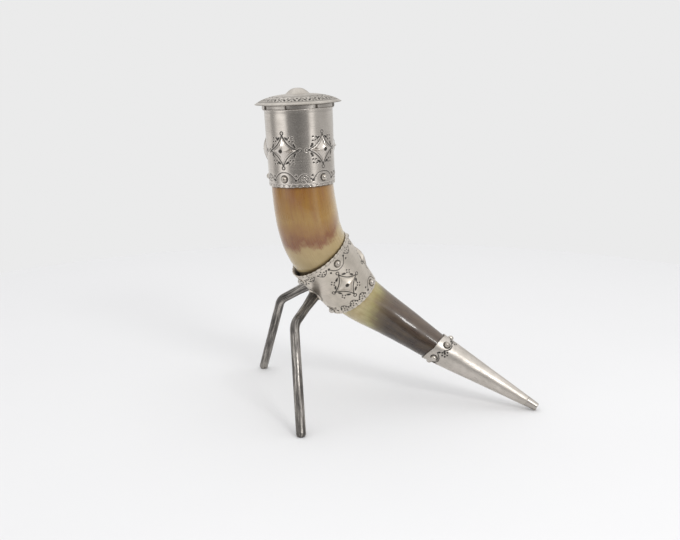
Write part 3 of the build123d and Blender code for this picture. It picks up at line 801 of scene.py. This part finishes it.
def band_sheet():
    heights = np.linspace(0.0, band_length, 160)
    chasing = Chasing(band, angles, heights)
    for angle in BAND_DIAMOND_ANGLES:
        seat = (angle, BAND_DIAMOND_HEIGHT)
        diamond_marks(chasing, seat, BAND_DIAMOND)
        for sx, sy in CORNERS:
            chasing.dots_round(seat, sx * 8.8, sy * 8.4, 4, 1.7, 0, 0.68)
    top, low = band_length - BAND_TOP_NAIL_INSET, BAND_BOTTOM_NAIL_INSET
    for k in range(BAND_TOP_NAILS):
        angle = BAND_FIRST_TOP_NAIL + k * 360.0 / BAND_TOP_NAILS
        edge_marks(chasing, angle, top, -1, 9.0, 5.2)
        for offset in (32.0, 58.0):
            rosette_marks(chasing, angle + offset, top + 1.4, -1, 9.0, 3.6)
    for k in range(BAND_BOTTOM_NAILS):
        angle = BAND_FIRST_BOTTOM_NAIL + k * 360.0 / BAND_BOTTOM_NAILS
        edge_marks(chasing, angle, low, 1, 8.0, 5.0)
        for offset in (37.0, 60.0, 83.0):
            rosette_marks(chasing, angle + offset, low - 0.6, 1, 8.0, 3.6)
    chasing.scallops(band_length - 1.7, BAND_TOP_SCALLOPS, 0.8, below=False)
    chasing.scallops(1.6, BAND_BOTTOM_SCALLOPS, 0.8, below=True)
    lift = unevenness(angles, heights, 0.16, 5) - chasing.depth
    shift = np.zeros_like(lift)
    shift[-2:] = np.outer((-0.25, -0.5), edge_wave(angles, BAND_TOP_SCALLOPS))
    shift[:2] = np.outer((0.5, 0.25), edge_wave(angles, BAND_BOTTOM_SCALLOPS))
    ink = chasing.ink
    for angle, _, _ in LEGS.values():
        x = np.radians((angles - angle + 180) % 360 - 180)[None, :] * band.radius(band_length / 2)
        away = np.hypot(x, (heights - band_length / 2)[:, None])
        ink = np.maximum(ink, 0.5 * smooth((LEG_PAD_RADIUS + 1.2 - away) / 1.4))
    piece = turned_shell("band_shell", band, angles, heights, lift, shift, SHEET, ink)
    finish_piece(piece, "horn", "band_metal", "middle_band")


# ---- ferrule


def ferrule_edge(angle):
    """Height of the ferrule's oblique top edge at an angle round it."""
    return -FERRULE_EDGE_TILT * np.cos(np.radians(angle - FERRULE_SHORT_SIDE))


def ferrule_sheet():
    heights = -fine_rows(ferrule_length, FERRULE_CHASED_LENGTH, 0.3, 1.2)[::-1]
    around = evenly(300, 360.0)
    spacing = 360.0 / FERRULE_NAILS
    shift = ferrule_edge(around) * smooth((heights + FERRULE_TILT_DEPTH) / FERRULE_TILT_FADE)[:, None]
    chasing = Chasing(ferrule, around, heights, shift)
    for k in range(FERRULE_NAILS):
        angle = FERRULE_FIRST_NAIL + k * spacing
        seat = (angle, ferrule_edge(angle) - FERRULE_NAIL_INSET)
        chasing.ring(seat, 0, 0, NAIL_HEAD_RADIUS + 0.35, 0.8)
        chasing.arc(seat, (-5.8, -1.0), (5.8, -1.0), -3.4, 0.8)
        chasing.arc(seat, (-4.8, -2.4), (-2.2, -4.6), 0.5, 0.5)
        chasing.arc(seat, (2.2, -4.6), (4.8, -2.4), 0.5, 0.5)
        for side in (-1, 1):
            chasing.leaf(seat, side * 7.2, -1.5, 90 + side * 35, 3.4, 1.5)
        between = (angle + spacing / 2, ferrule_edge(angle + spacing / 2) - FERRULE_NAIL_INSET - 4.0)
        chasing.dot(between, 0, 0, 0.85)
        chasing.dots_round(between, 0, 0, 6, 2.5, 30, 0.85)
    lift = unevenness(around, heights, 0.1, 8) - chasing.depth
    lobes = 1 - np.abs(np.cos(np.radians(around - FERRULE_FIRST_NAIL) * FERRULE_NAILS / 2))
    shift = shift - 0.8 * lobes[None, :] * smooth((heights + 3.0) / 3.0)[:, None]
    piece = turned_shell("ferrule_shell", ferrule, around, heights, lift, shift, FERRULE_WALL, chasing.ink)
    finish_piece(piece, "horn", "ferrule_metal", "tip_ferrule")


# ---- lid

brim = LID_LIFT + SHEET
crown = brim + LID_CROWN


def lid_height(radius):
    """Height of the lid's upper face above the sleeve's top edge."""
    radii = [0.0] + [r for r, _ in LID_SHOULDER] + [LID_RADIUS]
    tops = [crown] + [crown - drop for _, drop in LID_SHOULDER] + [brim]
    return cubic(radii, tops, radius, slopes=(0.0, LID_EDGE_SLOPE))


def lid_ring(around, height, radius):
    """Points at a height above the sleeve's top edge and a distance from the lid's axis."""
    return lid_axis.base + lid_axis.up * height + lid_axis.out(around) * radius


class Flat:
    """Lets Chasing press marks into a round plate: its heights are distances from the middle."""

    def radius(self, height):
        return height


def lid():
    columns = 620
    around = evenly(columns, 360.0)
    radii = np.concatenate([np.linspace(0.6, 17.0, 12), np.arange(17.4, LID_RADIUS, 0.32), [LID_RADIUS]])
    chasing = Chasing(Flat(), around, radii)
    for k in range(LID_REPEATS):
        angle = 360.0 / LID_REPEATS * k
        between = angle + 180.0 / LID_REPEATS
        seat = (angle, 29.6)
        chasing.leaf(seat, -1.9, 1.0, 60, 3.4, 1.5)
        chasing.leaf(seat, 1.9, 1.0, 120, 3.4, 1.5)
        chasing.leaf(seat, 0.0, -2.3, -90, 2.6, 1.2)
        chasing.ring((between, 28.2), 0, 0, 1.1, 0.55)
        chasing.dot((between, 31.6), 0, 0, 0.7)
        chasing.arc((angle, 24.2), (-3.0, 0.6), (3.0, 0.6), -1.5, 0.55)
        chasing.dot((between, 24.4), 0, 0, 0.6)
    for radius in (33.4, 21.4):
        groove = np.exp(-(((radii - radius) / 0.5) ** 2))[:, None]
        chasing.ink += 0.7 * groove
        chasing.depth += 0.2 * groove
    top = lid_height(radii)[:, None] - chasing.depth + unevenness(around, radii, 0.1, 9)
    rows = [lid_ring(around, height[:, None], radius) for height, radius in zip(top, radii)]
    bead_top = LID_LIFT + LID_EDGE_BEAD
    bead = np.linspace(0, pi, 9)[1:]
    for turn in bead:
        height = bead_top + ((brim - bead_top) * (1 + cos(turn)) - LID_EDGE_BEAD * (1 - cos(turn))) / 2
        rows.append(lid_ring(around, height, LID_RADIUS + LID_EDGE_BEAD * sin(turn)))
    lower_radii = np.linspace(LID_RADIUS, radii[0], 16)[1:]
    rows += [lid_ring(around, height - SHEET, r) for height, r in zip(lid_height(lower_radii), lower_radii)]
    tips = [lid_axis.base + lid_axis.up * height for height in (crown, crown - SHEET)]
    points = np.concatenate([*rows, tips])
    faces = [face[::-1] for face in capped_faces(len(rows), columns)]
    # Painted shade: the edge bead is inked a little darker and the brim's underside darker still, as the
    # shade under the lid.
    painted_bead_and_underside_shade = np.repeat((0.15, 0.4), (len(bead) * columns, len(lower_radii) * columns + len(tips)))
    values = {"ink": np.append(chasing.ink, painted_bead_and_underside_shade).clip(0, 1), "grain": points - lid_axis.base}
    piece = mesh_piece("lid_dome", points, faces, values)
    finish_piece(piece, "lid", "lid_metal", "lid_plate")


def lid_boss():
    """Bell-shaped boss, softly four-sided, with a worn top and a dark ring round its foot, painted as the
    shadow line where it meets the lid.
    """
    spokes = 128
    turn = evenly(spokes)
    shares = np.linspace(1.0, 0.03, 30)
    bell = cubic([0.0, 0.42, 0.74, 1.0], [1.0, 0.87, 0.42, -0.08], shares, slopes=(0.0, -1.4))
    rows, ink = [], []
    for share, level, height in zip(shares, lid_height(LID_BOSS_RADIUS * shares), bell):
        square = 1.0 + 0.075 * np.cos(4 * turn) * smooth(share)
        reach = LID_BOSS_RADIUS * share * square * 0.93
        top = level + (crown - level) * (1 - share) + LID_BOSS_HEIGHT * height
        rows.append(lid_ring(np.degrees(turn), top, reach[:, None]))
        # Painted shadow: the outer edge of the bell is inked dark where it meets the lid.
        ink.append(np.full(spokes, 0.75 * smooth((share - 0.93) / 0.07)))
    skirt = rows[0] - lid_axis.up * 0.7
    tips = [lid_axis.base + lid_axis.up * height for height in (crown - 1.4, crown + LID_BOSS_HEIGHT)]
    points = np.concatenate([skirt, *rows, tips])
    faces = capped_faces(len(rows) + 1, spokes)
    values = {"ink": np.concatenate([np.full(spokes, 0.9), *ink, [1, 0]]), "grain": points - lid_axis.base}
    piece = mesh_piece("lid_boss_bell", points, faces, values)
    finish_piece(piece, "lid", "lid_metal", "lid_boss")


# ---- horn


def horn_sections():
    """Centres, outer radii and hollow radii of the horn's sections, from its rim to its tip."""
    rows = [(MOUTH_BASE + mouth.up * h, outer, inner) for h, outer, inner in HORN_MOUTH_SECTIONS]
    rows += [(np.array(row[:3]), row[3], row[4]) for row in HORN_BEND_SECTIONS]
    for share in np.linspace(0, 1, HORN_TIP_SECTIONS):
        radius = HORN_NECK_RADIUS + (HORN_TIP_RADIUS - HORN_NECK_RADIUS) * share
        rows.append((FERRULE_TOP - ferrule.up * HORN_TIP_DEPTH * share, radius, None))
    return rows


def horn():
    """The horn: its hollow from the bottom up, its rim, and its outer face from the rim to the tip.

    Places are lengths along the horn's middle line, from its rim."""
    sections = horn_sections()
    centres = np.array([row[0] for row in sections])
    places = lengths_along(centres)
    hollow_count = sum(row[2] is not None for row in sections)
    hollow_end = places[hollow_count - 1]
    spokes = 192
    turn = evenly(spokes)

    def rings(along, radius, ripple):
        step = 0.05
        heading = unit(cubic(places, centres, along + step) - cubic(places, centres, along - step))
        side = unit(np.cross((0, 1, 0), heading))
        around = circles(turn, side, np.cross(heading, side))
        return cubic(places, centres, along)[:, None] + around * (radius[:, None] + ripple)[..., None]

    along = np.arange(HORN_RIM_DEPTH, places[-1], 1.15)
    radius = cubic(places, [row[1] for row in sections], along)
    draw = np.random.default_rng(21)
    ripple = np.zeros((len(along), spokes))
    for k in range(2, 9):
        twist = 0.012 * draw.normal()
        ripple += 0.16 / k * np.cos(k * turn + draw.uniform(0, 2 * pi) + twist * k * along[:, None])
    for k in range(12):
        wave = draw.uniform(0.15, 0.5)
        phase = draw.uniform(0, 2 * pi) + 0.4 * np.cos(turn + k)
        ripple += 0.012 * np.cos(wave * along[:, None] + phase)
    outer = rings(along, radius, ripple)
    hollow_along = np.linspace(hollow_end, HORN_RIM_DEPTH, HORN_HOLLOW_ROWS)
    hollow_radii = cubic(places[:hollow_count], [row[2] for row in sections[:hollow_count]], hollow_along)
    inner = rings(hollow_along, hollow_radii, 0.0)
    rim = (outer[0] + inner[-1]) / 2 + mouth.up * HORN_RIM_DEPTH
    rows = np.concatenate([inner, rim[None], outer])
    tips = centres[[hollow_count - 1, -1]]
    points = np.concatenate([rows.reshape(-1, 3), tips])

    slant_from, slant_to, rim_light_until, at_band, at_ferrule = 60.0, 175.0, 126.0, 150.0, 230.0
    first_outer = HORN_HOLLOW_ROWS + 1
    length = np.concatenate([hollow_along, [0.0], along])
    is_outer = (np.arange(len(length)) >= first_outer)[:, None]
    place = length[:, None]
    right = 0.5 - 0.5 * np.cos(turn)
    slant = (19.0 * right**10 + 8.5 * (1 - right)) * smooth((place - slant_from) / 30)
    slant *= smooth((slant_to - place) / 20)
    late = -7.0 * np.cos(turn) * smooth((place - at_band) / 30)
    zone = place + slant + late + 1.5 * np.sin(3 * turn)
    # Painted rim light on the two sides of the outer face, fading out along the upper horn.
    painted_rim_light = 0.55 * np.abs(np.cos(turn)) ** 10 * smooth((rim_light_until - place) / 40) * is_outer
    ink = np.zeros((len(rows), spokes))
    outer_ink, outer_place = ink[first_outer:], place[first_outer:]
    from_foot = (outer - mouth.base) @ mouth.up
    outer_ink[:] = 0.75 * smooth((from_foot + 1.6) / 1.8) * (from_foot < 20)
    from_band = (outer - BAND_TOP) @ band.up
    near_band = np.linalg.norm(outer - BAND_TOP, axis=2) < 40
    outer_ink[:] = np.maximum(outer_ink, 0.8 * smooth((1.2 - from_band) / 1.6) * near_band)
    below_band = (BAND_BOTTOM - outer) @ band.up
    outer_ink *= 1 - smooth(below_band / 1.5) * (outer_place > at_band)
    edge_up = ferrule.up + ferrule.out(FERRULE_SHORT_SIDE) * FERRULE_EDGE_TILT / FERRULE_TOP_RADIUS
    from_ferrule = (outer - FERRULE_TOP) @ edge_up
    ferrule_ink = 0.7 * smooth((1.6 - from_ferrule) / 1.8) * (outer_place > at_ferrule)
    outer_ink[:] = np.maximum(outer_ink, ferrule_ink)

    def on_points(grid, last=0.0):
        return np.append(np.broadcast_to(grid, ink.shape), [last, last])

    grain_ends = [[0, 0, hollow_end], [0, 0, places[-1]]]
    values = {
        "zone": on_points(zone, 200.0),
        "side": on_points(right**2 * is_outer),
        "painted_rim_light": on_points(painted_rim_light),
        "ink": on_points(ink),
        "grain": np.concatenate([grain_places(turn, length, HORN_GRAIN_RADIUS), grain_ends]),
    }
    piece = mesh_piece("horn_body", points, capped_faces(len(rows), spokes), values)
    finish_piece(piece, "horn", "horn", "horn_shell")


# ---- legs


def leg_line(seat_point, knee, foot):
    """Points down the middle of a bent leg, and the length of its straight upper part."""
    down, shin = unit(knee - seat_point), unit(foot - knee)
    bend = np.arccos(np.clip(down @ shin, -1, 1))
    cut = LEG_KNEE_BEND * np.tan(bend / 2)
    thigh = np.linalg.norm(knee - seat_point) - cut
    end = foot + shin * ((LEG_RADIUS - LEG_END_HEIGHT) / -shin[2])
    shin_length = np.linalg.norm(end - knee) - cut
    start = knee - down * cut
    centre = start + unit(shin - down * (shin @ down)) * LEG_KNEE_BEND
    points = [seat_point + down * s for s in np.arange(-LEG_ROOT_DEPTH, thigh, 0.8)]
    toward = unit(start - centre)
    for t in np.linspace(0, bend, 26):
        points.append(centre + LEG_KNEE_BEND * (toward * cos(t) + down * sin(t)))
    knee_end = points[-1]
    points += [knee_end + shin * s for s in np.arange(0.8, shin_length - 0.1, 0.8)]
    points.append(end)
    return np.array(points), thigh


def leg(name, seat_angle, knee, foot):
    """Bent rod from the band to the ground, flared at its root, with small scrolls chased at its knee."""
    seat_point = band.point(seat_angle, band_length / 2)
    line, thigh = leg_line(seat_point, knee, foot)
    along = lengths_along(line) - LEG_ROOT_DEPTH
    radius = LEG_RADIUS + (LEG_ROOT_RADIUS - LEG_RADIUS) * (1 - along / LEG_FLARE_LENGTH).clip(0, 1.1)
    left = along[-1] - along
    rounding = LEG_RADIUS * LEG_END_ROUNDING
    round_end = np.sqrt(np.clip(1 - ((rounding - left).clip(0) / rounding) ** 2, 0, 1))
    radius = radius - rounding * (1 - round_end)
    across = unit(np.cross(knee - seat_point, foot - knee))[None]
    over = np.cross(unit(np.gradient(line, axis=0)), across)
    spokes = 72
    turn = evenly(spokes)
    draw = np.random.default_rng(len(name))
    dent = np.zeros((len(line), spokes))
    for k in range(1, 7):
        dent += 0.05 / k * np.cos(k * turn + draw.uniform(0, 6) + 0.05 * draw.normal() * along[:, None])
    scroll = np.abs(np.sin(turn * 5) * np.sin((along - thigh) * 1.3)[:, None])
    knee_scrolls = 0.35 * smooth(1 - np.abs(along - thigh + 2) / 6.0)[:, None] * smooth((scroll - 0.25) * 3)
    dent -= knee_scrolls
    ink = 1.6 * knee_scrolls + 0.7 * smooth((2.5 - along) / 3)[:, None]
    reach = radius[:, None] + dent * (left > 4)[:, None]
    rows = line[:, None] + circles(turn, across, over) * reach[..., None]
    points = np.concatenate([rows.reshape(-1, 3), line[[0, -1]]])
    points[:, 2] = points[:, 2].clip(0.0)
    grain = grain_places(turn, along + 60 * len(name), LEG_RADIUS)
    values = {
        "ink": np.append(ink, [1, 0]).clip(0, 1),
        "grain": np.concatenate([grain, [[0, 0, 0], [0, 0, along[-1]]]]),
    }
    piece = mesh_piece(name + "_rod", points, capped_faces(len(rows), spokes), values)
    finish_piece(piece, "horn", "leg_metal", name)


def leg_pad(name, seat_angle):
    """Pool of solder that joins a leg to the band, thick by the leg and thin at its uneven edge."""
    spokes, steps = 96, 16
    turn = evenly(spokes)
    draw = np.random.default_rng(40 + len(name))
    edge = LEG_PAD_RADIUS * (0.96 + 0.02 * sum(np.cos(k * turn + draw.uniform(0, 6)) for k in (2, 3, 5)))
    outline = np.stack([edge * np.cos(turn), edge * np.sin(turn), np.zeros(spokes)], -1)
    rows = [outline - (0, 0, HIDDEN_DEPTH)]
    for t in np.linspace(1.0, 0.25, steps):
        rows.append(outline * t + (0, 0, LEG_PAD_HEIGHT * smooth((1 - t) / 0.5)))
    local = np.concatenate([*rows, [[0, 0, -HIDDEN_DEPTH], [0, 0, LEG_PAD_HEIGHT]]])
    points = band.wrap((seat_angle, band_length / 2), local)
    away = np.hypot(local[:, 0], local[:, 1])
    ink = 0.8 * smooth((away - edge.min() * 0.9) / 0.9) + 0.7 * smooth((LEG_ROOT_RADIUS + 0.8 - away) / 1.2)
    values = {"ink": ink.clip(0, 1), "grain": local}
    piece = mesh_piece(name + "_pad", points, capped_faces(len(rows), spokes), values)
    finish_piece(piece, "horn", "band_metal", name)


# ---- build the pieces

sleeve_seats = [(SLEEVE_FIRST_ANGLE + sleeve_step * k, SLEEVE_DIAMOND_HEIGHT) for k in range(SLEEVE_REPEATS)]
band_seats = [(angle, BAND_DIAMOND_HEIGHT) for angle in BAND_DIAMOND_ANGLES]

sleeve()
boss("sleeve_bosses", mouth, sleeve_seats, SLEEVE_DIAMOND, "sleeve_metal", "sleeve_diamond_bosses")
band_sheet()
boss("band_bosses", band, band_seats, BAND_DIAMOND, "band_metal", "band_diamond_bosses")
ferrule_sheet()
lid()
lid_boss()
horn()
for name, (seat_angle, knee, foot) in LEGS.items():
    leg(name, seat_angle, knee, foot)
    leg_pad(name + "_collar", seat_angle)

KEPT_NODES = [
    (plain_metal, ["mouth_rim_wire", "lid_collar", "lid_seat_ring", "tip_cap"]),
    (nail_metal, ["sleeve_nails", "band_top_nails", "band_bottom_nails", "ferrule_nails"]),
]
for material, nodes in KEPT_NODES:
    for node in nodes:
        slots = frame["nodes"][node].data.materials
        slots.clear()
        slots.append(material)


# ---- floor, light and camera


# How bright the studio is towards each side: degrees from the camera's side, negative to the left.
WALL_LEVELS = [
    (-180, 0.90), (-112, 0.88), (-105, 0.42), (-92, 0.40), (-84, 0.75), (-76, 1.20),
    (-58, 1.30), (-48, 1.05), (-39, 0.30), (0, 0.20), (30, 0.34), (35, 0.60),
    (39, 1.30), (50, 1.30), (56, 0.56), (92, 0.56), (130, 0.70), (180, 0.90),
]
ROOM_TURN = 9.0
CEILING_LEVEL = 1.2
BACKDROP_LEVEL = 0.83
CEILING_FROM, CEILING_TO = 0.42, 0.66
FLOOR_RADIUS = 0.74
FLOOR_SIDES = 96
LAMP_PLACE = (0.70, -0.95, 0.98)
LAMP_TARGET = (-0.04, 0.0, 0.15)
LAMP_SIZE = (0.38, 0.20)
LAMP_POWER = 4.8
CAMERA_PLACE = (0.0570, -0.8161, 0.3108)
CAMERA_DIRECTION = (-0.1182, 0.9676, -0.2233)


def floor():
    """Round sheet of pale paper that reaches almost to the camera."""
    mesh = bpy.data.meshes.new("floor")
    edge = [(FLOOR_RADIUS * cos(a), FLOOR_RADIUS * sin(a), 0) for a in evenly(FLOOR_SIDES)]
    mesh.from_pydata(edge, [], [range(FLOOR_SIDES)])
    piece = placed("floor", mesh)
    s = Shader("pale_paper")
    place = s.node("TexCoord").outputs["Object"]
    reach = s.node("VectorMath", {"operation": "LENGTH"}, Vector=place).outputs["Value"]
    # Painted shade: the paper darkens towards its edge, standing in for light falling off away from the
    # middle.
    away = s.remap(reach, 0.25, FLOOR_RADIUS)
    mottle = s.remap(s.noise(place, scale=3.0, detail=4.0), 0.3, 0.7)
    tone = s.mix(mottle, (230, 230, 231), (228, 228, 229))
    tone = s.mix(away, tone, (225, 225, 226))
    mesh.materials.append(s.set(Base_Color=tone, Roughness=0.75))
    s.surface.inputs["Specular IOR Level"].default_value = 0.2


def aimed(piece, place, direction):
    piece.location = place
    piece.rotation_euler = Vector(direction).to_track_quat("-Z", "Y").to_euler()


def softbox():
    """Lamp in front and to the right, which gives the polished horn its long highlight."""
    data = bpy.data.lights.new("front_box", "AREA")
    data.shape = "RECTANGLE"
    data.size, data.size_y = LAMP_SIZE
    data.energy = LAMP_POWER
    aimed(placed("front_box", data), LAMP_PLACE, Vector(LAMP_TARGET) - Vector(LAMP_PLACE))


def room():
    """Pale studio: white ceiling, windows to the left and right, and a dim side behind the camera.

    The camera itself sees an even backdrop as pale as the floor."""
    world = bpy.data.worlds.new("room")
    bpy.context.scene.world = world
    world.use_nodes = True
    n = Nodes(world.node_tree)
    place = n.node("TexCoord").outputs["Generated"]
    rotation = n.node("VectorRotate", {"rotation_type": "Z_AXIS"}, Vector=place, Angle=radians(-ROOM_TURN))
    x, y, z = n.node("SeparateXYZ", Vector=rotation.outputs[0]).outputs
    turn = n.plus(n.math("DIVIDE", n.math("ARCTAN2", x, n.times(y, -1.0)), 2 * pi), 0.5)
    walls = n.ramp(turn, [(0.5 + azimuth / 360.0, level) for azimuth, level in WALL_LEVELS])
    ceiling = n.remap(z, CEILING_FROM, CEILING_TO)
    light = n.mix(ceiling, walls, (255, 255, 255))
    gain = n.plus(n.times(ceiling, CEILING_LEVEL - 1.0), 1.0)
    seen = n.node("LightPath").outputs["Is Camera Ray"]
    colour = n.mix(seen, light, (255, 255, 255))
    strength = n.node("Mix", Factor=seen)
    n.feed(strength.inputs[2], gain)
    strength.inputs[3].default_value = BACKDROP_LEVEL
    background = n.tree.nodes["Background"]
    n.feed(background.inputs["Color"], colour)
    n.feed(background.inputs["Strength"], strength.outputs[0])


def camera():
    data = bpy.data.cameras.new("camera")
    piece = placed("camera", data)
    aimed(piece, CAMERA_PLACE, CAMERA_DIRECTION)
    data.sensor_width = 36.0
    data.lens = 50.77
    bpy.context.scene.camera = piece


floor()
room()
softbox()
camera()
bpy.context.scene.view_settings.view_transform = "Standard"
